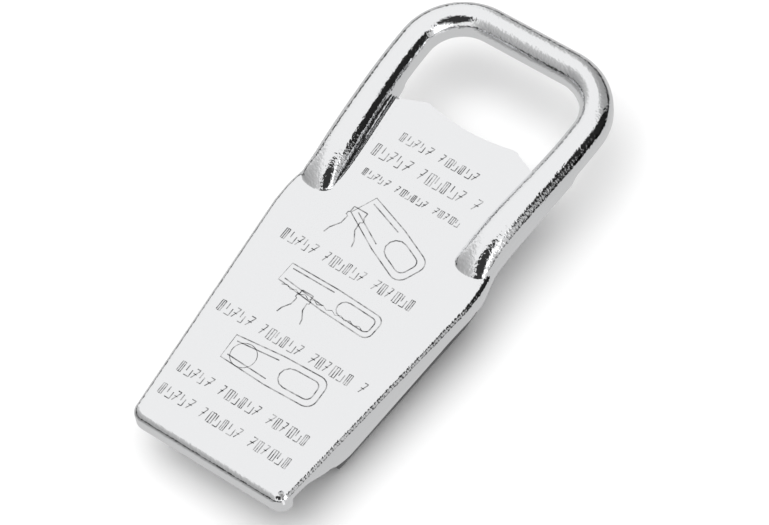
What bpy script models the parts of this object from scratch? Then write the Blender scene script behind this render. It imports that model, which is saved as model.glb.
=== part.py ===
"""Crown-cap opener and bottle resealer: a pressed steel body, a clamp channel and a sealing pad.

Lengths are in metres. The origin is under the middle of the tool, on the surface it stands on.
+X is across the tool, +Y runs from the front lip to the handle loop, and +Z is up.
"""

import math

import bmesh
import bpy
from mathutils import Vector

MM = 0.001

# Overall sizes
LENGTH = 105.0 * MM          # front lip to the end of the handle loop
HANDLE_WIDTH = 44.8 * MM     # across the handle loop
FRONT_WIDTH = 33.8 * MM      # across the front lip
SIDE_TAPER = 0.099           # each side widens by this much for each unit of length
SHEET = 1.2 * MM             # steel of the body
BEND_RADIUS = 1.6 * MM       # outer radius of the bends round the plate
CORNER_RADIUS = 2.0 * MM     # front corners, seen from above

# Lengths measured back from the front lip
TAPER_END = 50.0 * MM        # the sides stop widening here
WAIST_START = 53.0 * MM      # the sides start to come back in here
WAIST = 63.0 * MM            # the sides have run into the handle's legs here
WAIST_TUCK = 1.45 * MM       # how far each side comes back in at the waist
NOSE_TIP = 55.4 * MM         # the bead rises out of the plate here, as a ramp with a round end
NOSE_ROUND = 2.8 * MM        # length of the nose's round end
RAMP = 5.2 * MM              # how slowly the ramp levels out
LEG_STRAIGHT = 90.0 * MM     # the legs run parallel from here
PLATE_END = 79.5 * MM        # the plate ends here beside the tongue
TONGUE_SHOULDER = 82.0 * MM  # tips of the tongue that lifts a crown cap
TONGUE_MIDDLE = 80.9 * MM    # lowest point of the tongue's hollow edge
TONGUE_HALF = 9.4 * MM       # half the width between the tongue's tips
TONGUE_CHAMFER = 10.6 * MM   # half the width where the chamfers start
TONGUE_ROOT = 14.2 * MM      # half the width where the chamfers end

# Handle bead: an inverted U pressed round the loop
BEAD_WIDTH = 6.24 * MM
BEAD_RISE = 1.35 * MM        # height of the bead's round above the plate's top
NOSE_INSET = 2.08 * MM       # how much nearer the middle line the bead runs at its nose
NOSE_WIDER = 0.35 * MM       # how much wider each half of the bead is at its nose
LOOP_CORNER = 13.5 * MM      # outer radius of the loop's corners

# Depths of the walls, measured down from the plate's top
LIP_DEPTH = 4.1 * MM
FRONT_WALL_DEPTH = 1.9 * MM
TAB_FRONT_DEPTH = 7.7 * MM
TAB_REAR_DEPTH = 4.2 * MM
LEG_FRONT_DEPTH = 2.5 * MM
LEG_REAR_DEPTH = 1.3 * MM     # stays deeper than the plate's sheet
LOOP_DEPTH = 0.1 * MM
LIP_RETURN = 2.3 * MM        # length of the lip's ends, round the corners
STEP_START = 5.0 * MM        # the walls deepen from here to TAB_START
TAB_START = 13.0 * MM
TAB_FULL = 18.0 * MM
LOOP_STEP = 82.0 * MM        # the skirt gets shallower here
STEP_RUN = 2.0 * MM

# Toothed edge of the left wall, which turns screw caps
TOOTH_COUNT = 6
TOOTH_START = 59.0 * MM
TOOTH_PITCH = 3.2 * MM
TOOTH_ROOT_DEPTH = 2.6 * MM
TOOTH_TIP_DEPTH = 4.3 * MM

# Relief hole at the right front corner
RELIEF_RADIUS = 0.85 * MM
RELIEF_SLIT = 0.5 * MM

# Clamp channel
CHANNEL_SHEET = 1.2 * MM
CHANNEL_START = 15.0 * MM
CHANNEL_END = 54.0 * MM
RAIL_DROP = 12.7 * MM        # plate's top to the rails' lowest point
RAIL_SLOPE = 0.0875          # the rails rise towards the handle, to wedge on the bottle's ring
RAIL_CORNER = 3.0 * MM       # rounded front corner of the rails
NECK_SLOT = 25.6 * MM        # gap between the rails, for the bottle's neck
RAIL_CHAMFER = 2.2 * MM      # lead-in at both ends of each rail
STOP_DEPTH = 2.6 * MM        # turned-down rear edge that stops the pad

# Sealing pad
PAD_THICKNESS = 2.5 * MM
PAD_CORNER = 1.0 * MM
PAD_SIDE_GAP = 0.4 * MM

CLEARANCE = 0.3 * MM         # between pieces that touch
REACH = 20.0 * MM            # how far a cutter runs past what it cuts
ARC_STEPS = 12
WELD_DISTANCE = 0.002 * MM   # joins the points that a Boolean leaves on top of each other

PLATE_TOP = RAIL_DROP
BEAD_RADIUS = BEAD_WIDTH / 2
LEG_OFFSET = HANDLE_WIDTH / 2 - BEAD_RADIUS
CHANNEL_TOP = PLATE_TOP - SHEET - CLEARANCE
PAD_TOP = CHANNEL_TOP - CHANNEL_SHEET - CLEARANCE


def back(distance):
    """Y of a point this far behind the front lip."""
    return distance - LENGTH / 2


def smooth(value, low, high):
    """0 below low, 1 above high, with a soft S between them."""
    t = min(max((value - low) / (high - low), 0.0), 1.0)
    return t * t * (3 - 2 * t)


def leg_offset(distance):
    """Distance of the bead's middle line from the tool's middle line."""
    return LEG_OFFSET - NOSE_INSET * (1 - smooth(distance, NOSE_TIP, LEG_STRAIGHT))


def half_bead(distance):
    """Half the bead's width: a round end, then wide at the nose and narrower along the legs."""
    half = BEAD_RADIUS + NOSE_WIDER * (1 - smooth(distance, TOOTH_START, LEG_STRAIGHT))
    short = max(1 - (distance - NOSE_TIP) / NOSE_ROUND, 0.0)
    return half * math.sqrt(1 - short ** 2)


def half_width(distance):
    """Half the body's width, without the bead, at a distance behind the front lip."""
    tuck = WAIST_TUCK * smooth(distance, WAIST_START, WAIST)
    return FRONT_WIDTH / 2 + SIDE_TAPER * min(distance, TAPER_END) - tuck


def crown_height(distance):
    """Height of the bead's crown above the plate's top: a ramp that levels out towards the loop."""
    gone = min(distance, LEG_STRAIGHT) - NOSE_TIP
    full = 1 - math.exp(-(LEG_STRAIGHT - NOSE_TIP) / RAMP)
    return (BEAD_RISE + BEAD_RADIUS) * (1 - math.exp(-gone / RAMP)) / full


def tab_depth(distance):
    slope = (TAB_REAR_DEPTH - TAB_FRONT_DEPTH) / (TAPER_END - TAB_FULL)
    return TAB_FRONT_DEPTH + slope * (distance - TAB_FULL)


def new_object(name, bm, collection):
    bmesh.ops.recalc_face_normals(bm, faces=bm.faces)
    mesh = bpy.data.meshes.new(name)
    bm.to_mesh(mesh)
    bm.free()
    obj = bpy.data.objects.new(name, mesh)
    collection.objects.link(obj)
    return obj


def prism(name, points, axis, low, high, collection):
    """A flat outline pushed out along Z (points are x, y) or along X (points are y, z)."""
    bm = bmesh.new()
    if axis == "Z":
        corners = [bm.verts.new((x, y, low)) for x, y in points]
        step = Vector((0, 0, high - low))
    else:
        corners = [bm.verts.new((low, y, z)) for y, z in points]
        step = Vector((high - low, 0, 0))
    face = bm.faces.new(corners)
    pushed = bmesh.ops.extrude_face_region(bm, geom=[face])
    moved = [item for item in pushed["geom"] if isinstance(item, bmesh.types.BMVert)]
    bmesh.ops.translate(bm, verts=moved, vec=step)
    return new_object(name, bm, collection)


def mirrored(half):
    """A closed outline from its right half, which runs from the front round to the rear."""
    return half + [(-x, y) for x, y in reversed(half) if x > 0]


def side_run(inset, first, last, count):
    run = [first + (last - first) * i / count for i in range(count + 1)]
    return [(half_width(distance) - inset, back(distance)) for distance in run]


def front_corner(inset):
    """The rounded front corner of the outline, moved inwards by inset."""
    lean = math.atan(SIDE_TAPER)
    radius = CORNER_RADIUS - inset
    centre_x = FRONT_WIDTH / 2 + SIDE_TAPER * CORNER_RADIUS - CORNER_RADIUS / math.cos(lean)
    centre_y = back(CORNER_RADIUS)
    turn = [i / 6 * (math.pi / 2 - lean) for i in range(7)]
    return [(centre_x + radius * math.sin(a), centre_y - radius * math.cos(a)) for a in turn]


def plate_outline():
    half = front_corner(0.0) + side_run(0.0, 3 * MM, PLATE_END, 26)
    half += [(TONGUE_ROOT, back(PLATE_END)), (TONGUE_CHAMFER, back(TONGUE_SHOULDER))]
    hollow = TONGUE_SHOULDER - TONGUE_MIDDLE
    for i in range(5):
        x = TONGUE_HALF * (1 - i / 4)
        half.append((x, back(TONGUE_MIDDLE + hollow * (x / TONGUE_HALF) ** 2)))
    return mirrored(half)


def cavity_outline():
    """The hollow under the plate. It runs out past the tongue, and stops at the loop's skirt."""
    inner = leg_offset(PLATE_END) - half_bead(PLATE_END) - CLEARANCE
    stop = PLATE_END - CLEARANCE
    half = front_corner(SHEET) + side_run(SHEET, 3 * MM, stop, 26)
    end = back(TONGUE_SHOULDER + SHEET)
    half += [(inner, back(stop)), (inner, end), (0.0, end)]
    return mirrored(half)


def round_top_edges(obj, radius, rear_limit):
    """Rounds the top edge along the front and the sides, and leaves the tongue's edge sharp."""
    bm = bmesh.new()
    bm.from_mesh(obj.data)
    top = max(vert.co.z for vert in bm.verts)
    chosen = []
    for edge in bm.edges:
        ends = [vert.co for vert in edge.verts]
        across = abs(ends[0].x) < half_width(PLATE_END) - SHEET and ends[0].y > rear_limit
        if min(end.z for end in ends) > top - MM / 100 and not across and max(e.y for e in ends) < rear_limit:
            chosen.append(edge)
    bmesh.ops.bevel(
        bm, geom=chosen, offset=radius, offset_type="OFFSET", segments=4, profile=0.5, affect="EDGES",
        clamp_overlap=False, material=-1,
    )
    bmesh.ops.triangulate(bm, faces=bm.faces)
    bm.to_mesh(obj.data)
    bm.free()


def bead_path():
    """Stations (x, y, crown's z, half width) from the right nose, round the loop, to the left one."""
    half = []
    corner_radius = LOOP_CORNER - BEAD_RADIUS
    corner_y = LENGTH - LOOP_CORNER
    for i in range(24):
        distance = NOSE_TIP + MM / 5 + (LEG_STRAIGHT - NOSE_TIP - MM / 5) * (i / 23) ** 1.6
        crown = PLATE_TOP + crown_height(distance)
        half.append((leg_offset(distance), back(distance), crown, half_bead(distance)))
    crown = PLATE_TOP + crown_height(LENGTH)
    for i in range(ARC_STEPS + 1):
        angle = math.pi / 2 * i / ARC_STEPS
        x = LEG_OFFSET - corner_radius * (1 - math.cos(angle))
        half.append((x, back(corner_y) + corner_radius * math.sin(angle), crown, BEAD_RADIUS))
    half.append((0.0, back(LENGTH - BEAD_RADIUS), crown, BEAD_RADIUS))
    return half + [(-x, y, z, wide) for x, y, z, wide in reversed(half[:-1])]


def bead_solid(name, inset, bottom, collection):
    """An inverted U swept round the handle, closed underneath, and smaller all round by inset."""
    path = [station for station in bead_path() if station[3] > inset + MM / 2]
    bm = bmesh.new()
    rings = []
    for i, (x, y, crown, wide) in enumerate(path):
        ahead, behind = path[min(i + 1, len(path) - 1)], path[max(i - 1, 0)]
        along = Vector((ahead[0] - behind[0], ahead[1] - behind[1])).normalized()
        out = Vector((along.y, -along.x))
        spring = max(crown - BEAD_RADIUS, PLATE_TOP - inset - MM / 4)
        profile = [(wide - inset, bottom)]
        for step in range(ARC_STEPS + 1):
            angle = math.pi * step / ARC_STEPS
            across = (wide - inset) * math.cos(angle)
            profile.append((across, spring + (crown - inset - spring) * math.sin(angle)))
        profile.append((inset - wide, bottom))
        rings.append([bm.verts.new((x + out.x * d, y + out.y * d, z)) for d, z in profile])
    for first, second in zip(rings, rings[1:]):
        for i in range(len(first)):
            j = (i + 1) % len(first)
            bm.faces.new((first[i], first[j], second[j], second[i]))
    bm.faces.new(rings[0])
    bm.faces.new(list(reversed(rings[-1])))
    return new_object(name, bm, collection)


def wall_bottom(toothed):
    """(distance, depth) points along the walls' lower edge, from the front to the rear."""
    points = [(-REACH, LIP_DEPTH), (LIP_RETURN, LIP_DEPTH), (LIP_RETURN + RELIEF_SLIT, FRONT_WALL_DEPTH)]
    tab_start_depth = tab_depth(TAB_FULL) - (TAB_FRONT_DEPTH - LIP_DEPTH) * 0.7
    for i in range(9):
        distance = STEP_START + (TAB_START - STEP_START) * i / 8
        drop = (tab_start_depth - FRONT_WALL_DEPTH) * smooth(distance, STEP_START, TAB_START)
        points.append((distance, FRONT_WALL_DEPTH + drop))
    for i in range(1, 6):
        angle = math.pi / 2 * i / 5
        along = TAB_START + (TAB_FULL - TAB_START) * (1 - math.cos(angle))
        points.append((along, tab_start_depth + (TAB_FRONT_DEPTH - tab_start_depth) * math.sin(angle)))
    points.append((TAPER_END, TAB_REAR_DEPTH))
    for i in range(7):
        distance = WAIST_START + (TOOTH_START - WAIST_START) * i / 6
        drop = (TAB_REAR_DEPTH - LEG_FRONT_DEPTH) * smooth(distance, WAIST_START, TOOTH_START)
        points.append((distance, TAB_REAR_DEPTH - drop))
    if toothed:
        for i in range(TOOTH_COUNT):
            start = TOOTH_START + TOOTH_PITCH * i
            points.append((start + TOOTH_PITCH / 8, TOOTH_ROOT_DEPTH))
            points.append((start + TOOTH_PITCH * 0.45, TOOTH_TIP_DEPTH))
            points.append((start + TOOTH_PITCH * 0.55, TOOTH_TIP_DEPTH))
        points.append((TOOTH_START + TOOTH_PITCH * TOOTH_COUNT, LEG_REAR_DEPTH))
    else:
        for i in range(1, 6):
            distance = TOOTH_START + (LOOP_STEP - TOOTH_START) * i / 6
            drop = (LEG_FRONT_DEPTH - LEG_REAR_DEPTH) * smooth(distance, TOOTH_START, LOOP_STEP)
            points.append((distance, LEG_FRONT_DEPTH - drop))
    points += [(LOOP_STEP, LEG_REAR_DEPTH), (LOOP_STEP + STEP_RUN, LOOP_DEPTH), (LENGTH + REACH, LOOP_DEPTH)]
    return points


def wall_cutter(name, side, toothed, collection):
    """Removes all that lies under the walls' lower edge, on one side of the tool."""
    edge = [(back(distance), PLATE_TOP - depth) for distance, depth in wall_bottom(toothed)]
    outline = edge + [(edge[-1][0], -REACH), (edge[0][0], -REACH)]
    low, high = sorted((-side * MM / 10, side * (HANDLE_WIDTH / 2 + REACH)))
    return prism(name, outline, "X", low, high, collection)


def relief_cutters(collection):
    """The open relief at the right front corner: a hole through the bend and a slit under it."""
    x = half_width(LIP_RETURN) - BEND_RADIUS
    bm = bmesh.new()
    bmesh.ops.create_cone(
        bm, cap_ends=True, segments=20, radius1=RELIEF_RADIUS, radius2=RELIEF_RADIUS, depth=REACH
    )
    bmesh.ops.translate(bm, verts=bm.verts, vec=(x, back(LIP_RETURN), PLATE_TOP))
    hole = new_object("relief_hole_cutter", bm, collection)
    bm = bmesh.new()
    bmesh.ops.create_cube(bm, size=1.0)
    bmesh.ops.scale(bm, verts=bm.verts, vec=(2 * SHEET + BEND_RADIUS, RELIEF_SLIT, REACH))
    slit_x = half_width(LIP_RETURN)
    bmesh.ops.translate(bm, verts=bm.verts, vec=(slit_x, back(LIP_RETURN), PLATE_TOP - REACH / 2 + MM / 2))
    return hole, new_object("relief_slit_cutter", bm, collection)


def wedge(name, inset, start, end, low_front, low_rear, top, collection):
    """A block as wide as the body less inset on each side, with a sloping underside."""
    bm = bmesh.new()
    bmesh.ops.create_cube(bm, size=2.0)
    for vert in bm.verts:
        front, low = vert.co.y < 0, vert.co.z < 0
        distance = start if front else end
        side = math.copysign(half_width(distance) - inset, vert.co.x)
        height = (low_front if front else low_rear) if low else top
        vert.co = (side, back(distance), height)
    return new_object(name, bm, collection)


def rail_height(distance, above=0.0):
    """Z of the rails' sloping underside, or of a plane that much above it."""
    return above + RAIL_SLOPE * (distance - CHANNEL_START - RAIL_CORNER)


def triangulate(obj):
    """Makes every face flat, which a Boolean needs."""
    bm = bmesh.new()
    bm.from_mesh(obj.data)
    bmesh.ops.triangulate(bm, faces=bm.faces)
    bm.to_mesh(obj.data)
    bm.free()


def boolean(obj, cutter, operation):
    triangulate(cutter)
    modifier = obj.modifiers.new(cutter.name, "BOOLEAN")
    modifier.operation = operation
    modifier.solver = "EXACT"
    modifier.object = cutter
    weld = obj.modifiers.new("weld_" + cutter.name, "WELD")
    weld.merge_threshold = WELD_DISTANCE
    cutter.hide_render = True
    cutter.display_type = "WIRE"


def steel(name, colour, roughness, metallic):
    material = bpy.data.materials.new(name)
    material.use_nodes = True
    shader = material.node_tree.nodes["Principled BSDF"]
    shader.inputs["Base Color"].default_value = (*colour, 1.0)
    shader.inputs["Roughness"].default_value = roughness
    shader.inputs["Metallic"].default_value = metallic
    return material


def make_body(parts, cutters):
    body = prism("body_shell", plate_outline(), "Z", 0.0, PLATE_TOP, parts)
    round_top_edges(body, BEND_RADIUS, back(PLATE_END) - MM / 10)
    boolean(body, bead_solid("bead_outside", 0.0, MM, cutters), "UNION")
    cavity = prism("cavity_cutter", cavity_outline(), "Z", -REACH, PLATE_TOP - SHEET, cutters)
    boolean(body, cavity, "DIFFERENCE")
    boolean(body, bead_solid("bead_hollow_cutter", SHEET, -REACH, cutters), "DIFFERENCE")
    boolean(body, wall_cutter("right_wall_cutter", 1, False, cutters), "DIFFERENCE")
    boolean(body, wall_cutter("left_wall_cutter", -1, True, cutters), "DIFFERENCE")
    for cutter in relief_cutters(cutters):
        boolean(body, cutter, "DIFFERENCE")
    body.data.materials.append(steel("chrome_plated_steel", (0.82, 0.82, 0.83), 0.12, 1.0))
    return body


def round_rail_front(obj):
    """Rounds the channel's lower front edge, where the rails first meet the bottle."""
    bm = bmesh.new()
    bm.from_mesh(obj.data)
    front = min(vert.co.y for vert in bm.verts)
    low = min(vert.co.z for vert in bm.verts)
    near = MM / 10
    chosen = [e for e in bm.edges if all(v.co.y < front + near and v.co.z < low + near for v in e.verts)]
    bmesh.ops.bevel(
        bm, geom=chosen, offset=RAIL_CORNER, offset_type="OFFSET", segments=5, profile=0.5, affect="EDGES",
        clamp_overlap=False, material=-1,
    )
    bmesh.ops.triangulate(bm, faces=bm.faces)
    bm.to_mesh(obj.data)
    bm.free()


def make_channel(parts, cutters):
    outside = SHEET + CLEARANCE
    inside = outside + CHANNEL_SHEET
    start, end = CHANNEL_START, CHANNEL_END
    channel = wedge(
        "clamp_channel", outside, start, end, rail_height(start), rail_height(end), CHANNEL_TOP, parts
    )
    round_rail_front(channel)
    before, after = start - REACH / 4, end + REACH / 4
    web_under = CHANNEL_TOP - CHANNEL_SHEET
    stop_under = web_under - STOP_DEPTH
    hollow = wedge(
        "channel_hollow_cutter", inside, before, after,
        rail_height(before, CHANNEL_SHEET), rail_height(after, CHANNEL_SHEET), stop_under, cutters,
    )
    seat = wedge(
        "pad_seat_cutter", inside, before, end - CHANNEL_SHEET,
        stop_under - MM / 2, stop_under - MM / 2, web_under, cutters,
    )
    half = NECK_SLOT / 2
    slot = [
        (0.0, back(before)), (half + RAIL_CHAMFER, back(before)), (half + RAIL_CHAMFER, back(start)),
        (half, back(start + RAIL_CHAMFER)), (half, back(end - RAIL_CHAMFER)),
        (half + RAIL_CHAMFER, back(end)), (half + RAIL_CHAMFER, back(after)), (0.0, back(after)),
    ]
    neck = prism("neck_slot_cutter", mirrored(slot), "Z", -REACH, stop_under - MM, cutters)
    for cutter in (hollow, seat, neck):
        boolean(channel, cutter, "DIFFERENCE")
    channel.data.materials.append(steel("black_finished_steel", (0.035, 0.035, 0.037), 0.45, 0.6))
    return channel


def make_pad(parts):
    inset = SHEET + CLEARANCE + CHANNEL_SHEET + PAD_SIDE_GAP
    start, end = CHANNEL_START + CLEARANCE, CHANNEL_END - CHANNEL_SHEET - CLEARANCE
    under = PAD_TOP - PAD_THICKNESS
    pad = wedge("sealing_pad", inset, start, end, under, under, PAD_TOP, parts)
    bevel = pad.modifiers.new("rounded_edges", "BEVEL")
    bevel.width = PAD_CORNER
    bevel.segments = 3
    bevel.limit_method = "ANGLE"
    pad.data.materials.append(steel("black_rubber", (0.02, 0.02, 0.021), 0.75, 0.0))
    return pad


def place(obj, point, parent):
    """Puts the object's origin at a point on the tool, and leaves its shape where it is."""
    obj.data.transform(obj.matrix_world.Translation(-Vector(point)))
    obj.location = point
    obj.parent = parent


def clear_scene():
    for obj in list(bpy.data.objects):
        bpy.data.objects.remove(obj, do_unlink=True)


def main():
    clear_scene()
    parts = bpy.data.collections.new("bottle_resealer")
    cutters = bpy.data.collections.new("cutters")
    for collection in (parts, cutters):
        bpy.context.scene.collection.children.link(collection)
    root = bpy.data.objects.new("resealer_origin", None)
    parts.objects.link(root)
    body = make_body(parts, cutters)
    channel = make_channel(parts, cutters)
    pad = make_pad(parts)
    body.parent = root
    place(channel, (0.0, back(CHANNEL_START), CHANNEL_TOP), root)
    place(pad, (0.0, back(CHANNEL_START), PAD_TOP), root)
    for obj in (body, channel, pad):
        obj.data.shade_smooth()
        obj.data.set_sharp_from_angle(angle=math.radians(35))


main()
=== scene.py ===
"""A chromed crown-cap opener and bottle resealer, dressed over its CAD frame.

Tool coordinates are millimetres: x across, d back from the front lip, h up from the plate's top.
"""

import math

import bmesh
import bpy
from mathutils import Matrix, Vector


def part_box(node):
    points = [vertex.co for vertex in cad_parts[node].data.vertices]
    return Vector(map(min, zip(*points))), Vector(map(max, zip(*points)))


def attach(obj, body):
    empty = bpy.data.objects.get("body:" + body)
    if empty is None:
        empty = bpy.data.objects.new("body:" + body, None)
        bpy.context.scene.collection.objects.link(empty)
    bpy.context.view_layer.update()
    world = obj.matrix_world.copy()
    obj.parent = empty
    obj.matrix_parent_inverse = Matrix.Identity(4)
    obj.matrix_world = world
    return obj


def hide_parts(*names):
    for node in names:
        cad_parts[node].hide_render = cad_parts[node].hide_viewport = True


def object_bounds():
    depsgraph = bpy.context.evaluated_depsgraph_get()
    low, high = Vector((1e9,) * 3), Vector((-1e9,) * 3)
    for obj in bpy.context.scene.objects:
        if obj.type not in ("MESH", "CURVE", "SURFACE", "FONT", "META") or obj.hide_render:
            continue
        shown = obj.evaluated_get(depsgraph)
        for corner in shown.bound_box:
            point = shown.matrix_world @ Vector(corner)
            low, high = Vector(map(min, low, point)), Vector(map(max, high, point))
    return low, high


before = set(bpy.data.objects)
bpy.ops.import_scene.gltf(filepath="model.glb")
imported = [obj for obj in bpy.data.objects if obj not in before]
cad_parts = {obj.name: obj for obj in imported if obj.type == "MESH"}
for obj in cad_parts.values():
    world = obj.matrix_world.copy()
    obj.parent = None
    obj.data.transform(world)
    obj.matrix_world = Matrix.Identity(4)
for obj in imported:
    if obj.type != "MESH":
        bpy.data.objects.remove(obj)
CAD_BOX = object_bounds()
MM = 0.001
SAME = 1e-7           # two coordinates this close, in metres, are one
LOW, HIGH = Vector(CAD_BOX[0]), Vector(CAD_BOX[1])
PLATE_TOP = HIGH.z - 4.47 * MM

SHEET = 1.2
BEND = 1.6            # outer radius of the bend along the plate's sides
CORNER = 2.5          # front corners, seen from above
LIP_DEPTH = 4.1
BEAD = 3.12           # radius of the handle's raised bead
BEAD_RISE = 1.35
NOSE_TIP = 55.4       # the bead ramps up out of the plate from here
NOSE_ROUND = 58.2     # centre of the nose's round end
NOSE_WIDER = 0.35     # how much wider the bead is at its nose, on each side
RAMP = 5.2            # how slowly the ramp levels out
NOSE_X, LEG_X = 17.2, 19.28        # the bead's middle line at the nose and along the loop
LEG_STRAIGHT = 90.0
SPLIT = 80.0          # the plate parts from the legs here
LOOP_D = 91.5         # centre of the loop's corners
LOOP_R = 10.38        # their radius, on the bead's middle line
TIP_FILLET = 0.2      # how softly the bead's foot meets the plate, at the nose
FILLET = 0.7          # and beyond it
TAB_START, TAB_END = 13.0, 52.0
TAB_CREASE = 0.28     # how far the tab's edge is creased in over the channel
WALL_STEPS, BEND_STEPS, CROWN_STEPS, FOOT_STEPS = 10, 8, 16, 9
TOOTH_START, TOOTH_PITCH, TEETH = 59.0, 3.2, 6
TOOTH_ROOT, TOOTH_RISE = 2.6, 1.7
RELIEF_AT = (15.55, 1.95, 0.6)     # the corner notch's round end
RELIEF_RADIUS = 0.5
RELIEF_SLOT_AT = (16.65, 1.05, 0.5)
RELIEF_SLOT = (2.6, 0.42, 4.6)     # its slot: length, width and depth of the cut
RELIEF_TURN = -40


def at(x, d, h):
    return Vector((x * MM, LOW.y + d * MM, PLATE_TOP + h * MM))


def mix(a, b, t):
    return a + (b - a) * t


def smooth(value, low, high):
    t = min(max((value - low) / (high - low), 0.0), 1.0)
    return t * t * (3 - 2 * t)


# ---------------------------------------------------------------- pressed body

def side(d):
    """Outer face of the plate's side wall. Past the waist it hides inside the bead."""
    return 16.9 + 0.099 * min(d, 50.0) - 1.15 * smooth(d, 53, 63) - 2.8 * smooth(d, 62, 71)


def leg(d):
    return mix(NOSE_X, LEG_X, smooth(d, NOSE_TIP, LEG_STRAIGHT))


def half_bead(d):
    return BEAD + NOSE_WIDER * (1 - smooth(d, 60, LEG_STRAIGHT))


def crown(d):
    """Height of the bead's crown above the plate: a ramp that levels out towards the loop."""
    full = 1 - math.exp(-(LEG_STRAIGHT - NOSE_TIP) / RAMP)
    gone = min(max(d, NOSE_TIP), LEG_STRAIGHT) - NOSE_TIP
    return (BEAD_RISE + BEAD) * (1 - math.exp(-gone / RAMP)) / full


def bead_centre(d):
    return max(crown(d) - BEAD, 0.0)


def bead_skin(x, d, h):
    """Below zero inside the bead. On the ramp it is a low oval with a round end."""
    if d <= NOSE_TIP + 0.01:
        return 9.0
    wide = half_bead(d)
    if d < NOSE_ROUND:
        wide *= math.sqrt(1 - ((NOSE_ROUND - d) / (NOSE_ROUND - NOSE_TIP)) ** 2)
    tall = min(crown(d), BEAD)
    across, over = abs(x - leg(d)) / wide, max(h - bead_centre(d), 0.0) / tall
    return (math.hypot(across, over) - 1) * min(wide, tall)


def skin(x, d, h):
    """Below zero inside the pressed form: the plate with its bend, and the bead with its foot's fillet."""
    across, over = BEND - (side(d) - x), BEND + h
    if across > 0 and over > 0:
        plate = math.hypot(across, over) - BEND
    else:
        plate = max(across, over) - BEND
    bead = bead_skin(x, d, h)
    blend = mix(TIP_FILLET, FILLET, smooth(d, NOSE_ROUND, NOSE_ROUND + 6))
    near = max(blend - abs(plate - bead), 0.0) / blend
    return min(plate, bead) - near * near * blend / 4


def cast(x, h, angle, d, form):
    """The point where a ray from inside the form leaves it."""
    run, rise = math.cos(angle), math.sin(angle)
    near, far = 0.0, 0.25
    while form(x + run * far, d, h + rise * far) < 0 and far < 20:
        near, far = far, far + 0.25
    for _ in range(22):
        middle = (near + far) / 2
        if form(x + run * middle, d, h + rise * middle) < 0:
            near = middle
        else:
            far = middle
    return x + run * far, h + rise * far


def tab_line(d):
    return 7.7 - 0.1094 * (d - 18.0)


def wall_depth(d, toothed):
    if d <= CORNER:
        return LIP_DEPTH
    if d < TAB_START:
        return 1.9 + 3.1 * smooth(d, 5.2, TAB_START)
    if d < 18.0:
        angle = math.acos(1 - (d - TAB_START) / 5.0)
        return 5.0 + 2.7 * math.sin(angle)
    if d < 50.0:
        return tab_line(d)
    if toothed and TOOTH_START <= d < TOOTH_START + TOOTH_PITCH * TEETH:
        step = ((d - TOOTH_START) % TOOTH_PITCH) / TOOTH_PITCH
        front = min(max((step - 0.12) / 0.25, 0.0), 1.0)
        rise = front if step < 0.5 else 1 - (step - 0.5) / 0.5
        return TOOTH_ROOT + TOOTH_RISE * rise
    if d < 84.0:
        return 4.2 - 1.7 * smooth(d, 53, 59) - 1.2 * smooth(d, 59, 82) - 1.2 * smooth(d, 82, 84)
    return 0.1


def wall_heights(d, depth, top):
    """Heights up the wall, with one row of points on the crease above the tab."""
    crease = 4.9 - 0.0256 * (d - TAB_START)
    half = WALL_STEPS // 2
    if depth < crease + 0.2:
        crease = mix(depth, -top, 0.5)
    lower = [mix(-depth, -crease, i / half) for i in range(half)]
    upper = [mix(-crease, top, i / half) for i in range(half)]
    return lower + upper, crease


def section(d, toothed):
    """The outline across the body at one station, from the wall's lower edge over to the flat plate."""
    share = smooth(d, 55, 64)
    centre = bead_centre(d)
    bend_x, bend_h = mix(side(d) - BEND, leg(d), share), mix(-BEND, centre, share)
    crown_x, crown_h = mix(side(d) - 4.5, leg(d), share), -0.9
    depth = wall_depth(d, toothed)
    heights, crease = wall_heights(d, depth, bend_h)
    tuck = smooth(d, TAB_START - 1, TAB_START + 2) * (1 - smooth(d, TAB_END - 2, TAB_END + 2))
    points = []
    for h in heights:
        x = cast(bend_x, max(h, -2.0), 0.0, d, skin)[0]
        if h < -crease:
            x -= TAB_CREASE * tuck * (-crease - h) / max(depth - crease, 0.1)
        points.append((x, h))
    last = math.radians(mix(90, 60, share))
    for i in range(BEND_STEPS + 1):
        points.append(cast(bend_x, bend_h, last * i / BEND_STEPS, d, skin))
    x, h = points[-1]
    first = math.atan2(h - crown_h, x - crown_x) + math.radians(3)
    foot = math.radians(146)
    for i in range(CROWN_STEPS + 1):
        points.append(cast(crown_x, crown_h, mix(first, foot, i / CROWN_STEPS), d, skin))
    for i in range(1, FOOT_STEPS + 1):
        points.append(cast(crown_x, crown_h, mix(foot, math.radians(170), i / FOOT_STEPS), d, skin))
    points[-1] = (points[-1][0], 0.0)
    return points


def loop_section(depth, centre, half):
    """The same outline on the free legs and the loop: x is measured out from the bead's middle line."""
    def form(x, d, h):
        across, over = abs(x) / half, max(h - centre, 0.0) / BEAD
        return math.hypot(across, over) - 1

    heights, _ = wall_heights(0.0, depth, centre)
    points = [(half, h) for h in heights]
    for i in range(BEND_STEPS + 1):
        points.append(cast(0.0, centre, math.radians(60) * i / BEND_STEPS, 0, form))
    x, h = points[-1]
    first = math.atan2(h + 0.9, x) + math.radians(3)
    for i in range(CROWN_STEPS + 1):
        points.append(cast(0.0, -0.9, mix(first, math.radians(146), i / CROWN_STEPS), 0, form))
    return points


def chain(bm, points):
    verts = [bm.verts.new(p) for p in points]
    for a, b in zip(verts, verts[1:]):
        bm.edges.new((a, b))
    return verts


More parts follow.
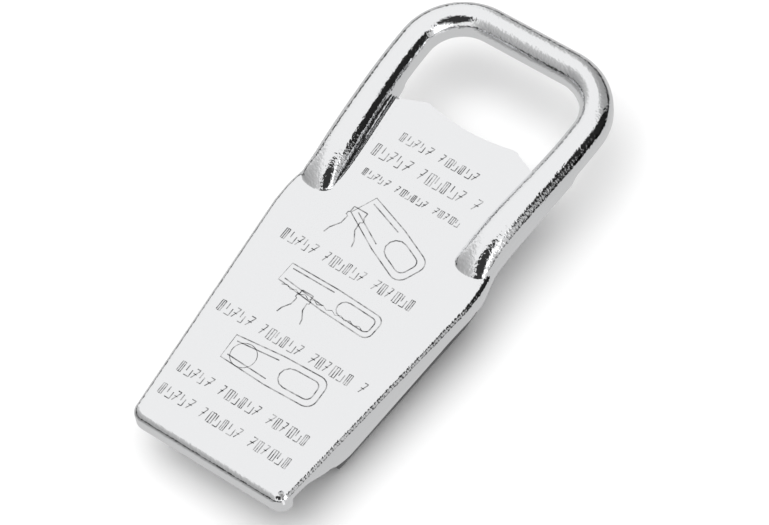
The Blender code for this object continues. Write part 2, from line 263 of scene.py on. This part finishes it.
def extend(bm, row, points):
    """Pulls a row of edges out to its next station."""
    edges = [bm.edges.get((a, b)) for a, b in zip(row, row[1:])]
    pulled = bmesh.ops.extrude_edge_only(bm, edges=edges)
    fresh = {item for item in pulled["geom"] if isinstance(item, bmesh.types.BMVert)}
    following = []
    for vert in row:
        ends = [edge.other_vert(vert) for edge in vert.link_edges]
        following.append(next(end for end in ends if end in fresh))
    for vert, point in zip(following, points):
        vert.co = point
    return following


def stations():
    plain = [CORNER, CORNER + 0.4] + [3.6 + 0.8 * i for i in range(60)]
    tip = [NOSE_TIP + gap for gap in (0.02, 0.08, 0.18, 0.32, 0.5, 0.75, 1.0, 1.3, 1.6)]
    fine = [51.6 + 0.4 * i for i in range(9)] + tip + [57.4 + 0.4 * i for i in range(56)] + [SPLIT]
    return [d for d in plain if d < 51.2] + [d for d in fine if d <= SPLIT]


def loop_path():
    """Middle line of the free handle: x, d, and the outward direction."""
    free = [SPLIT + 0.5 * i for i in range(1, 24) if SPLIT + 0.5 * i < LOOP_D]
    path = [(leg(d), d, 1.0, 0.0) for d in free]
    centre_x = LEG_X - LOOP_R
    for i in range(29):
        angle = math.pi / 2 * i / 28
        run, rise = math.cos(angle), math.sin(angle)
        path.append((centre_x + LOOP_R * run, LOOP_D + LOOP_R * rise, run, rise))
    return path + [(centre_x * (1 - i / 8), LOOP_D + LOOP_R, 0.0, 1.0) for i in range(1, 9)]


def build_side(bm, hand, toothed):
    sections = [(d, section(d, toothed)) for d in stations()]
    d, points = sections[0]
    row = first = chain(bm, [at(hand * x, d, h) for x, h in points])
    for d, points in sections[1:]:
        row = extend(bm, row, [at(hand * x, d, h) for x, h in points])
    row = row[:WALL_STEPS + BEND_STEPS + CROWN_STEPS + 2]
    skirt = None
    for x, d, run, rise in [(leg(SPLIT), SPLIT, 1.0, 0.0)] + loop_path():
        depth, half = wall_depth(d, False), half_bead(d)
        if skirt:
            outline = loop_section(depth, bead_centre(d), half)
            row = extend(bm, row, [at(hand * (x + o * run), d + o * rise, h) for o, h in outline])
        top, foot = row[-1].co.copy(), at(hand * (x - half * run), d - half * rise, -depth)
        inner = [top.lerp(foot, i / 5) for i in range(6)]
        skirt = extend(bm, skirt, inner) if skirt else chain(bm, inner)
    # the front lip: round the corner, then across the front
    corner_x = side(CORNER) - CORNER
    reach = WALL_STEPS + BEND_STEPS + 2
    profile = [(side(CORNER) - x, h) for x, h in sections[0][1][:reach]]
    front = chain(bm, [vert.co.copy() for vert in first[:reach]])
    for i in range(1, 11):
        angle = math.pi / 2 * i / 10
        run, rise = math.cos(angle), math.sin(angle)
        ring = [
            at(hand * (corner_x + (CORNER - o) * run), CORNER - (CORNER - o) * rise, h) for o, h in profile
        ]
        front = extend(bm, front, ring)
    for i in range(1, 13):
        x = corner_x * (1 - i / 12)
        front = extend(bm, front, [at(hand * x, o, h) for o, h in profile])


def tongue_edge():
    half = [(14.2, 80.0), (11.2, 81.5), (10.6, 81.83), (10.0, 82.03), (9.3, 82.0)]
    half += [(9.3 * (1 - i / 12), 80.9 + 1.1 * (1 - i / 12) ** 2) for i in range(1, 13)]
    return half + [(-x, d) for x, d in reversed(half[:-1])]


def fill_plate(bm):
    split_y = at(0, SPLIT, 0).y
    level = [v for v in bm.verts if abs(v.co.z - PLATE_TOP) < SAME]
    ends = sorted((v for v in level if abs(v.co.y - split_y) < SAME), key=lambda v: v.co.x)
    left, right = ends[0], ends[-1]
    edge = [at(x, d, 0.0) for x, d in tongue_edge()]
    edge[0], edge[-1] = right.co.copy(), left.co.copy()
    chain(bm, edge)
    bmesh.ops.remove_doubles(bm, verts=bm.verts, dist=1e-6)
    rim = [
        e for e in bm.edges
        if (e.is_boundary or e.is_wire) and all(abs(v.co.z - PLATE_TOP) < SAME for v in e.verts)
    ]
    bmesh.ops.edgeloop_fill(bm, edges=rim)


def finish_mesh(name, bm, modifiers):
    """Makes the object, applies its modifiers and smooths all but its sharp edges."""
    mesh = bpy.data.meshes.new(name)
    bm.to_mesh(mesh)
    bm.free()
    rough = bpy.data.objects.new(name + "_rough", mesh)
    bpy.context.scene.collection.objects.link(rough)
    for kind, settings in modifiers:
        modifier = rough.modifiers.new(kind, kind)
        for key, value in settings.items():
            setattr(modifier, key, value)
    graph = bpy.context.evaluated_depsgraph_get()
    final = bpy.data.meshes.new_from_object(rough.evaluated_get(graph))
    bpy.data.objects.remove(rough)
    final.name = name
    piece = bpy.data.objects.new(name, final)
    bpy.context.scene.collection.objects.link(piece)
    piece.data.shade_smooth()
    piece.data.set_sharp_from_angle(angle=math.radians(38))
    for polygon in piece.data.polygons:
        polygon.use_smooth = abs(polygon.normal.z) < 0.99999
    return piece


def cutter(name, bm):
    bmesh.ops.recalc_face_normals(bm, faces=bm.faces)
    mesh = bpy.data.meshes.new(name)
    bm.to_mesh(mesh)
    bm.free()
    obj = bpy.data.objects.new(name, mesh)
    bpy.context.scene.collection.objects.link(obj)
    return obj


def relief_cutters():
    """The open notch in the front right corner: a round end, and a slot out through the corner."""
    bm = bmesh.new()
    radius = RELIEF_RADIUS * MM
    bmesh.ops.create_cone(
        bm, cap_ends=True, segments=32, radius1=radius, radius2=radius, depth=5 * MM
    )
    bmesh.ops.translate(bm, verts=bm.verts, vec=at(*RELIEF_AT))
    hole = cutter("relief_hole", bm)
    bm = bmesh.new()
    bmesh.ops.create_cube(bm, size=1.0)
    turned = Matrix.Rotation(math.radians(RELIEF_TURN), 3, "Z")
    bmesh.ops.scale(bm, verts=bm.verts, vec=[size * MM for size in RELIEF_SLOT])
    bmesh.ops.rotate(bm, verts=bm.verts, matrix=turned)
    bmesh.ops.translate(bm, verts=bm.verts, vec=at(*RELIEF_SLOT_AT))
    return hole, cutter("relief_slot", bm)


EDGE_BREAK = ("BEVEL", {
    "width": 0.14 * MM, "segments": 2, "limit_method": "ANGLE", "angle_limit": math.radians(50),
    "profile": 0.5, "harden_normals": False, "miter_outer": "MITER_ARC",
})


def make_body():
    bm = bmesh.new()
    build_side(bm, 1, False)
    build_side(bm, -1, True)
    bmesh.ops.remove_doubles(bm, verts=bm.verts, dist=1e-6)
    fill_plate(bm)
    bmesh.ops.recalc_face_normals(bm, faces=bm.faces)
    widest = max(bm.faces, key=lambda f: f.calc_area())
    if widest.normal.z < 0:
        bmesh.ops.reverse_faces(bm, faces=bm.faces)
    hole, slot = relief_cutters()
    body = finish_mesh("pressed_body", bm, [
        ("SOLIDIFY", {"thickness": SHEET * MM, "offset": -1.0, "use_even_offset": True}),
        ("BOOLEAN", {"operation": "DIFFERENCE", "solver": "MANIFOLD", "object": hole}),
        ("BOOLEAN", {"operation": "DIFFERENCE", "solver": "MANIFOLD", "object": slot}),
        EDGE_BREAK,
    ])
    bpy.data.objects.remove(hole)
    bpy.data.objects.remove(slot)
    return body


# ---------------------------------------------------------------- channel and pad

CHANNEL_START, CHANNEL_END = 15.0, 54.0
CHANNEL_GAP = 1.5     # the body's sheet and the gap under it, down to the channel's outer face
RAIL_SLOPE = 0.0875
RAIL_EDGE = 12.8      # the rails' inner edges, either side of the neck
RAIL_CUT = 2.2        # how far the rails' corners are cut back at both ends


def rail_h(d):
    return -12.7 + RAIL_SLOPE * (d - 18.0)


def arc(cx, cy, radius, first, last, steps):
    turn = [math.radians(mix(first, last, i / steps)) for i in range(steps + 1)]
    return [(cx + radius * math.cos(a), cy + radius * math.sin(a)) for a in turn]


def channel_section(d):
    """Outer face of the channel: web, bend, wall, bend and rail, on the right half."""
    wall, bend = side(min(d, 50.0)) - CHANNEL_GAP, 1.7
    front = 1 - smooth(d, CHANNEL_START, CHANNEL_START + RAIL_CUT)
    rear = smooth(d, CHANNEL_END - RAIL_CUT, CHANNEL_END)
    inset = RAIL_CUT * front + RAIL_CUT * rear
    points = [(0.0, -CHANNEL_GAP), (wall * 0.5, -CHANNEL_GAP)]
    points += arc(wall - bend, -CHANNEL_GAP - bend, bend, 90, 0, 6)
    points += arc(wall - bend, rail_h(d) + bend, bend, 0, -90, 6)
    return points + [(RAIL_EDGE + inset, rail_h(d))]


def make_channel():
    bm = bmesh.new()
    ds = [15.0, 15.8, 16.6, 17.2] + [18 + 2 * i for i in range(17)] + [51.8, 52.5, 53.2, 54.0]
    for hand in (1, -1):
        row = chain(bm, [at(hand * x, ds[0], h) for x, h in channel_section(ds[0])])
        for d in ds[1:]:
            row = extend(bm, row, [at(hand * x, d, h) for x, h in channel_section(d)])
    stop = side(50.0) - CHANNEL_GAP - 3.2
    lip = chain(bm, [at(stop * (1 - i / 6), CHANNEL_END, -CHANNEL_GAP) for i in range(13)])
    for out, h in ((-0.1, -1.9), (-0.35, -2.3), (-0.5, -4.9)):
        lip = extend(bm, lip, [at(stop * (1 - i / 6), CHANNEL_END + 0.5 + out, h) for i in range(13)])
    bmesh.ops.remove_doubles(bm, verts=bm.verts, dist=1e-6)
    bmesh.ops.recalc_face_normals(bm, faces=bm.faces)
    middles = {face: face.calc_center_median() for face in bm.faces}
    top = max(bm.faces, key=lambda f: middles[f].z - 10 * abs(middles[f].x))
    if top.normal.z < 0:
        bmesh.ops.reverse_faces(bm, faces=bm.faces)
    nose = bmesh.new()
    outline = [(10.0, -8.0), (CHANNEL_START, rail_h(15) + 3.0)]
    outline += arc(CHANNEL_START + 3.0, rail_h(18) + 3.0, 3.0, 180, 270, 8)
    outline += [(18.0, -16.0), (10.0, -16.0)]
    face = nose.faces.new([nose.verts.new(at(-30, d, h)) for d, h in outline])
    pushed = bmesh.ops.extrude_face_region(nose, geom=[face])
    bmesh.ops.translate(
        nose, verts=[v for v in pushed["geom"] if isinstance(v, bmesh.types.BMVert)], vec=(60 * MM, 0, 0)
    )
    nose_cutter = cutter("nose_cutter", nose)
    channel = finish_mesh("clamp_channel_pressed", bm, [
        ("SOLIDIFY", {"thickness": SHEET * MM, "offset": -1.0, "use_even_offset": True}),
        ("BOOLEAN", {"operation": "DIFFERENCE", "solver": "MANIFOLD", "object": nose_cutter}),
        EDGE_BREAK,
    ])
    bpy.data.objects.remove(nose_cutter)
    return channel


def make_pad():
    low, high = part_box("sealing_pad")
    bm = bmesh.new()
    bmesh.ops.create_cube(bm, size=2.0)
    for vert in bm.verts:
        d = CHANNEL_START + 0.3 if vert.co.y < 0 else 52.5
        x = math.copysign(side(min(d, 50.0)) - 3.1, vert.co.x)
        vert.co = Vector((x * MM, at(0, d, 0).y, low.z if vert.co.z < 0 else high.z))
    bmesh.ops.bevel(
        bm, geom=bm.edges[:], offset=0.8 * MM, offset_type="OFFSET", segments=4, profile=0.5,
        affect="EDGES", clamp_overlap=True, material=-1,
    )
    return finish_mesh("rubber_pad", bm, [])


# ---------------------------------------------------------------- engraved marks

LINE = 0.24            # width of an engraved line


def ribbon(bm, points, width=LINE, closed=False):
    """A flat stroke along points on the plate."""
    count = len(points)
    left, right = [], []
    for i, (x, d) in enumerate(points):
        ahead = points[(i + 1) % count] if closed else points[min(i + 1, count - 1)]
        behind = points[i - 1] if closed or i else points[0]
        run, rise = ahead[0] - behind[0], ahead[1] - behind[1]
        size = math.hypot(run, rise) or 1.0
        across = (-rise / size * width / 2, run / size * width / 2)
        left.append(bm.verts.new(at(x + across[0], d + across[1], 0.012)))
        right.append(bm.verts.new(at(x - across[0], d - across[1], 0.012)))
    last = count if closed else count - 1
    for i in range(last):
        j = (i + 1) % count
        bm.faces.new((left[i], right[i], right[j], left[j]))


# Strokes of a made-up tick, in a box that is 1 wide and 1 tall about its middle line.
TICKS = (
    ((0.1, -0.5), (0.1, 0.5), (0.9, 0.5)), ((0.9, -0.5), (0.9, 0.2)), ((0.1, 0.0), (0.75, 0.0)),
    ((0.5, -0.5), (0.5, 0.5)), ((0.1, -0.5), (0.9, -0.5)), ((0.15, -0.45), (0.85, 0.45)),
    ((0.9, 0.5), (0.9, -0.5), (0.3, -0.5)), ((0.1, 0.5), (0.1, -0.1)), ((0.2, 0.5), (0.9, 0.5)),
)


def tick_row(bm, x0, x1, d, tall, count):
    """A row of made-up ticks, each of three strokes, that stands for a line of instructions."""
    pitch = (x1 - x0) / count
    for i in range(count):
        if i % 7 == 5:
            continue
        left, wide = x0 + pitch * i, pitch * (0.62 + 0.12 * (i * 5 % 3))
        for k in range(3):
            stroke = TICKS[(i * 4 + k * 3 + i // 3) % len(TICKS)]
            ribbon(bm, [(left + wide * a, d + tall * b) for a, b in stroke], LINE * 0.85)


def bottle(bm, x, d, scale):
    """Neck and shoulders of a bottle, drawn upright along the tool."""
    half = [(1.3, 3.0), (1.3, 1.9), (1.6, 1.7), (1.6, 1.2)]
    half += [(1.2, 1.0), (1.35, -0.6), (2.4, -2.2), (2.7, -3.4)]
    ribbon(bm, [(x + a * scale, d + b * scale) for a, b in half])
    ribbon(bm, [(x - a * scale, d + b * scale) for a, b in half])
    ribbon(bm, [(x - 1.3 * scale, d + 3.0 * scale), (x + 1.3 * scale, d + 3.0 * scale)])


def tool_outline(bm, x, d, length, width, turn):
    """The tool seen from above in outline: a tapered plate and its loop."""
    cos, sin = math.cos(math.radians(turn)), math.sin(math.radians(turn))

    def turned(points):
        return [(x + a * cos - b * sin, d + a * sin + b * cos) for a, b in points]

    w, n = width / 2, width / 2 * 0.78
    body = [(0, -n), (length * 0.5, -w), (length * 0.62, -w)]
    body += arc(length - w * 0.6, -w * 0.4, w * 0.6, -90, 0, 5)
    body += arc(length - w * 0.6, w * 0.4, w * 0.6, 0, 90, 5)
    body += [(length * 0.62, w), (length * 0.5, w), (0, n)]
    ribbon(bm, turned(body), closed=True)
    hole = arc(length * 0.66, 0, w * 0.62, 90, 270, 6)
    hole += arc(length - w * 0.75, -w * 0.24, w * 0.38, -90, 0, 4)
    hole += arc(length - w * 0.75, w * 0.24, w * 0.38, 0, 90, 4)
    ribbon(bm, turned(hole), closed=True)
    ribbon(bm, turned([(0.8, -n * 0.6), (length * 0.48, -w * 0.66)]))
    ribbon(bm, turned([(0.8, n * 0.6), (length * 0.48, w * 0.66)]))


# Rows of ticks: first x, last x, distance, height and how many.
MARK_ROWS = (
    (-9.7, 9.3, 73.4, 1.9, 13), (-12.4, 11.6, 68.6, 2.6, 14), (-11.2, 10.6, 63.6, 1.5, 18),
    (-15.8, 15.2, 45.0, 2.3, 20), (-16.6, 16.4, 26.6, 2.3, 21), (-15.0, 15.4, 12.6, 2.2, 20),
    (-15.2, 15.4, 7.2, 2.2, 20),
)


def make_marks():
    bm = bmesh.new()
    for x0, x1, d, tall, count in MARK_ROWS:
        tick_row(bm, x0, x1, d, tall, count)
    bottle(bm, -6.6, 53.0, 1.15)
    tool_outline(bm, -6.8, 57.6, 17.6, 7.0, -24)
    bottle(bm, -4.4, 34.2, 0.95)
    tool_outline(bm, -10.6, 38.6, 21.0, 5.2, -3)
    ribbon(bm, [(-9.6 + 1.0 * i, 36.0 + (0.5 if i % 2 else 0.0)) for i in range(20)], width=0.16)
    tool_outline(bm, -10.0, 20.6, 20.0, 6.6, 2)
    ribbon(bm, arc(-6.5, 20.4, 2.5, 0, 345, 28), width=0.16, closed=True)
    mesh = bpy.data.meshes.new("engraved_marks")
    bm.to_mesh(mesh)
    bm.free()
    marks = bpy.data.objects.new("engraved_marks", mesh)
    bpy.context.scene.collection.objects.link(marks)
    return marks


# ---------------------------------------------------------------- materials

def material(name, colour, metallic, roughness):
    made = bpy.data.materials.new(name)
    made.use_nodes = True
    tree = made.node_tree
    shader = tree.nodes["Principled BSDF"]
    shader.inputs["Base Color"].default_value = (*colour, 1.0)
    shader.inputs["Metallic"].default_value = metallic
    shader.inputs["Roughness"].default_value = roughness
    coords = tree.nodes.new("ShaderNodeTexCoord")
    return made, tree, shader, coords


def noise(tree, coords, scale, detail=2.0, rough=0.5):
    node = tree.nodes.new("ShaderNodeTexNoise")
    node.inputs["Scale"].default_value = scale
    node.inputs["Detail"].default_value = detail
    node.inputs["Roughness"].default_value = rough
    tree.links.new(coords.outputs["Object"], node.inputs["Vector"])
    return node


def ramp(tree, source, low, high, first, last):
    node = tree.nodes.new("ShaderNodeMapRange")
    node.inputs["From Min"].default_value = low
    node.inputs["From Max"].default_value = high
    node.inputs["To Min"].default_value = first
    node.inputs["To Max"].default_value = last
    tree.links.new(source, node.inputs["Value"])
    return node


def bump(tree, shader, source, strength, distance, below=None):
    node = tree.nodes.new("ShaderNodeBump")
    node.inputs["Strength"].default_value = strength
    node.inputs["Distance"].default_value = distance
    tree.links.new(source, node.inputs["Height"])
    if below:
        tree.links.new(below.outputs["Normal"], node.inputs["Normal"])
    tree.links.new(node.outputs["Normal"], shader.inputs["Normal"])
    return node


def chrome():
    made, tree, shader, coords = material("polished_chrome_plate", (0.86, 0.865, 0.875), 1.0, 0.1)
    peel = noise(tree, coords, 1900, 1.0, 0.5)
    ripple = noise(tree, coords, 260, 1.0, 0.4)
    wide = bump(tree, shader, ripple.outputs["Fac"], 0.25, 0.05 * MM)
    bump(tree, shader, peel.outputs["Fac"], 0.9, 0.06 * MM, wide)
    haze = noise(tree, coords, 90, 4.0, 0.6)
    dull = ramp(tree, haze.outputs["Fac"], 0.35, 0.7, 0.04, 0.1)
    tree.links.new(dull.outputs["Result"], shader.inputs["Roughness"])
    return made


def engraving():
    made, tree, shader, coords = material("engraved_line", (0.25, 0.25, 0.255), 0.0, 0.5)
    depth = noise(tree, coords, 900, 2.0)
    shade = tree.nodes.new("ShaderNodeValToRGB")
    shade.color_ramp.elements[0].color = (0.07, 0.07, 0.073, 1)
    shade.color_ramp.elements[0].position = 0.36
    shade.color_ramp.elements[1].color = (0.4, 0.4, 0.405, 1)
    shade.color_ramp.elements[1].position = 0.62
    tree.links.new(depth.outputs["Fac"], shade.inputs["Fac"])
    tree.links.new(shade.outputs["Color"], shader.inputs["Base Color"])
    return made


def black_finish():
    made, tree, shader, coords = material("satin_black_steel", (0.03, 0.03, 0.032), 0.0, 0.38)
    grain = noise(tree, coords, 1800, 3.0)
    bump(tree, shader, grain.outputs["Fac"], 0.25, 0.03 * MM)
    wear = noise(tree, coords, 120, 4.0, 0.65)
    dull = ramp(tree, wear.outputs["Fac"], 0.35, 0.7, 0.28, 0.5)
    tree.links.new(dull.outputs["Result"], shader.inputs["Roughness"])
    tone = tree.nodes.new("ShaderNodeValToRGB")
    tone.color_ramp.elements[0].color = (0.022, 0.022, 0.024, 1)
    tone.color_ramp.elements[1].color = (0.05, 0.05, 0.053, 1)
    tree.links.new(wear.outputs["Fac"], tone.inputs["Fac"])
    tree.links.new(tone.outputs["Color"], shader.inputs["Base Color"])
    return made


def rubber():
    made, tree, shader, coords = material("moulded_rubber", (0.022, 0.022, 0.023), 0.0, 0.75)
    grain = noise(tree, coords, 1400, 3.0)
    bump(tree, shader, grain.outputs["Fac"], 0.5, 0.05 * MM)
    bloom = noise(tree, coords, 160, 4.0)
    tone = tree.nodes.new("ShaderNodeValToRGB")
    tone.color_ramp.elements[0].color = (0.016, 0.016, 0.017, 1)
    tone.color_ramp.elements[1].color = (0.04, 0.04, 0.041, 1)
    tree.links.new(bloom.outputs["Fac"], tone.inputs["Fac"])
    tree.links.new(tone.outputs["Color"], shader.inputs["Base Color"])
    return made


# ---------------------------------------------------------------- studio

# Greys of the room by height, from straight down at 0 to straight up at 1.
ROOM_BANDS = (
    (0.0, 0.62), (0.44, 0.62), (0.47, 0.03), (0.535, 0.03), (0.56, 0.85), (0.66, 0.94), (0.8, 0.97),
)
# Dark patches of the room: azimuth and elevation of the middle, then factors by cosine from it.
PATCHES = (
    (120.0, 18.0, ((0.86, 1.0), (0.9, 0.02), (1.0, 0.02))),
    (42.0, 52.0, ((0.87, 1.0), (0.9, 0.04), (1.0, 0.04))),
    (-45.0, 10.0, ((0.6, 1.0), (0.74, 0.62), (0.95, 0.42), (1.0, 0.4))),
    (172.0, 20.0, ((0.8, 1.0), (0.88, 0.5), (1.0, 0.36))),
)
# A bright patch, added to the rest.
STRIP = (78.0, 18.0, ((0.84, 0.0), (0.91, 0.55), (1.0, 0.75)))


def grey_ramp(tree, source, stops):
    tone = tree.nodes.new("ShaderNodeValToRGB")
    elements = tone.color_ramp.elements
    while len(elements) < len(stops):
        elements.new(0.5)
    for element, (position, value) in zip(elements, stops):
        element.position = position
        element.color = (value, value, value, 1)
    tree.links.new(source, tone.inputs["Fac"])
    return tone


def make_floor():
    """The pale floor. The polish doesn't pick it up: the world's lower half stands for it there."""
    bm = bmesh.new()
    bmesh.ops.create_circle(bm, cap_ends=True, segments=64, radius=0.9)
    bmesh.ops.translate(bm, verts=bm.verts, vec=(0, 0, LOW.z - 0.02 * MM))
    mesh = bpy.data.meshes.new("floor")
    bm.to_mesh(mesh)
    bm.free()
    floor = bpy.data.objects.new("floor", mesh)
    bpy.context.scene.collection.objects.link(floor)
    made, tree, shader, coords = material("pale_floor", (0.93, 0.93, 0.93), 0.0, 0.9)
    mesh.materials.append(made)
    floor.visible_glossy = False


def direction(azimuth, elevation):
    a, e = math.radians(azimuth), math.radians(elevation)
    return Vector((math.sin(a) * math.cos(e), -math.cos(a) * math.cos(e), math.sin(e)))


def patched(tree, coords, sky, patch, blend):
    """The sky so far, darkened or brightened in one round patch."""
    azimuth, elevation, bands = patch
    facing = tree.nodes.new("ShaderNodeVectorMath")
    facing.operation = "DOT_PRODUCT"
    facing.inputs[1].default_value = direction(azimuth, elevation)
    tree.links.new(coords.outputs["Generated"], facing.inputs[0])
    tone = grey_ramp(tree, facing.outputs["Value"], bands)
    both = tree.nodes.new("ShaderNodeMixRGB")
    both.blend_type = blend
    both.inputs["Fac"].default_value = 1.0
    tree.links.new(sky.outputs["Color"], both.inputs["Color1"])
    tree.links.new(tone.outputs["Color"], both.inputs["Color2"])
    return both


def make_world():
    """The room that the polish picks up, and a plain pale backdrop for the camera."""
    world = bpy.data.worlds.new("studio")
    world.use_nodes = True
    tree = world.node_tree
    tree.nodes.clear()
    out = tree.nodes.new("ShaderNodeOutputWorld")
    shine = tree.nodes.new("ShaderNodeBackground")
    plain = tree.nodes.new("ShaderNodeBackground")
    plain.inputs["Color"].default_value = (0.96, 0.96, 0.96, 1)
    seen = tree.nodes.new("ShaderNodeLightPath")
    either = tree.nodes.new("ShaderNodeMixShader")
    coords = tree.nodes.new("ShaderNodeTexCoord")
    split = tree.nodes.new("ShaderNodeSeparateXYZ")
    tree.links.new(coords.outputs["Generated"], split.inputs["Vector"])
    height = ramp(tree, split.outputs["Z"], -1.0, 1.0, 0.0, 1.0)
    room = grey_ramp(tree, height.outputs["Result"], ROOM_BANDS)
    sky = room
    for patch, blend in [(p, "MULTIPLY") for p in PATCHES] + [(STRIP, "ADD")]:
        sky = patched(tree, coords, sky, patch, blend)
    tree.links.new(sky.outputs["Color"], shine.inputs["Color"])
    tree.links.new(seen.outputs["Is Camera Ray"], either.inputs["Fac"])
    tree.links.new(shine.outputs["Background"], either.inputs[1])
    tree.links.new(plain.outputs["Background"], either.inputs[2])
    tree.links.new(either.outputs["Shader"], out.inputs["Surface"])
    bpy.context.scene.world = world


def soft_light(name, azimuth, elevation, distance, size, power):
    away = direction(azimuth, elevation)
    lamp = bpy.data.lights.new(name, "AREA")
    lamp.shape = "DISK"
    lamp.size = size
    lamp.energy = power
    obj = bpy.data.objects.new(name, lamp)
    obj.location = away * distance
    obj.rotation_euler = away.to_track_quat("Z", "Y").to_euler()
    obj.visible_glossy = False
    bpy.context.scene.collection.objects.link(obj)


CAMERA_AZIMUTH, CAMERA_ELEVATION, CAMERA_ROLL = 44.07, 58.80, 9.67
CAMERA_DISTANCE = 0.675


def make_camera():
    a, roll = math.radians(CAMERA_AZIMUTH), math.radians(CAMERA_ROLL)
    target = at(0, 52, -4)
    back = direction(CAMERA_AZIMUTH, CAMERA_ELEVATION)
    level = Vector((math.cos(a), math.sin(a), 0))
    upright = back.cross(level)
    right = math.cos(roll) * level - math.sin(roll) * upright
    up = math.sin(roll) * level + math.cos(roll) * upright
    data = bpy.data.cameras.new("camera")
    data.sensor_width = 36
    data.lens = 173.8
    data.shift_x, data.shift_y = 0.0083, -0.0086
    data.clip_start, data.clip_end = 0.01, 10
    camera = bpy.data.objects.new("camera", data)
    bpy.context.scene.collection.objects.link(camera)
    matrix = camera.matrix_world.copy()
    for i in range(3):
        matrix[i][0], matrix[i][1], matrix[i][2] = right[i], up[i], back[i]
        matrix[i][3] = (target + back * CAMERA_DISTANCE)[i]
    camera.matrix_world = matrix
    bpy.context.scene.camera = camera


def add(piece, finish, node):
    piece.data.materials.clear()
    piece.data.materials.append(finish)
    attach(piece, "root")
    if node:
        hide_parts(node)


chrome_plate = chrome()
add(make_body(), chrome_plate, "body_shell")
add(make_channel(), black_finish(), "clamp_channel")
add(make_pad(), rubber(), "sealing_pad")
add(make_marks(), engraving(), None)
make_floor()
make_world()
soft_light("overhead_softbox", 300, 84, 1.0, 1.4, 9)
make_camera()
bpy.context.scene.view_settings.view_transform = "Standard"
